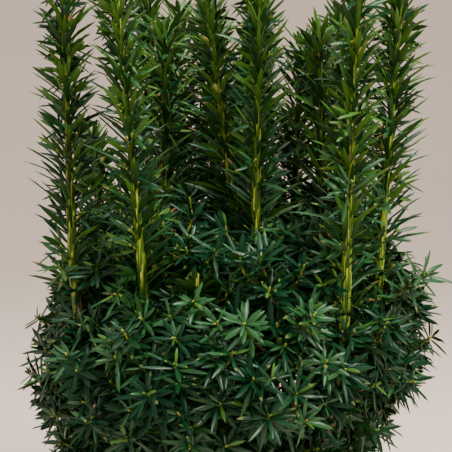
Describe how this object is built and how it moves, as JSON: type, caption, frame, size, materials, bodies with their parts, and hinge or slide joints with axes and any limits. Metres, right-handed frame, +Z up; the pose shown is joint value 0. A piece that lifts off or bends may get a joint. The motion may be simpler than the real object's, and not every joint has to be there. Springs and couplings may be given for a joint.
{
  "type": "english yew",
  "caption": "young bushy yew tree with a short trunk, rising boughs, a dense dark crown and upright leader shoots, rooted in the ground",
  "frame": {"origin": "middle of the flat cut under the trunk, at ground level", "axes": "+Z up along the trunk; -Y towards the pictured front; +X to the right as seen from the front"},
  "size_m": [0.325, 0.3238, 0.4939],
  "materials": {
    "bark": "scaly red-brown bark, rough",
    "limb_bark": "young green-brown bark, rough",
    "needles": "dark green needles with a soft gloss"
  },
  "bodies": {
    "root": {"trunk": "bark", "leader_bough_01": "limb_bark", "leader_bough_02": "limb_bark", "leader_bough_04": "limb_bark", "leader_bough_05": "limb_bark", "leader_bough_06": "limb_bark", "leader_bough_07": "limb_bark", "leader_bough_08": "limb_bark", "leader_bough_09": "limb_bark", "leader_bough_10": "limb_bark", "leader_bough_11": "limb_bark", "leader_bough_12": "limb_bark", "leader_bough_13": "limb_bark", "leader_bough_14": "limb_bark", "leader_bough_15": "limb_bark", "leader_bough_16": "limb_bark", "crown_bough_01": "limb_bark", "crown_bough_02": "limb_bark", "crown_bough_03": "limb_bark", "crown_bough_04": "limb_bark", "crown_bough_05": "limb_bark", "crown_bough_06": "limb_bark", "crown_bough_07": "limb_bark", "crown_bough_08": "limb_bark", "leader_01": "needles", "leader_02": "needles", "leader_03": "needles", "leader_04": "needles", "leader_05": "needles", "leader_06": "needles", "leader_07": "needles", "leader_08": "needles", "leader_09": "needles", "leader_10": "needles", "leader_11": "needles", "leader_12": "needles", "leader_13": "needles", "leader_14": "needles", "leader_15": "needles", "leader_16": "needles", "crown_01": "needles", "crown_02": "needles", "crown_03": "needles", "crown_04": "needles", "crown_05": "needles", "crown_06": "needles", "crown_07": "needles", "crown_08": "needles", "skirt_01": "needles", "skirt_02": "needles", "skirt_03": "needles", "skirt_04": "needles", "skirt_05": "needles", "skirt_06": "needles", "skirt_07": "needles"}
  },
  "joints": []
}
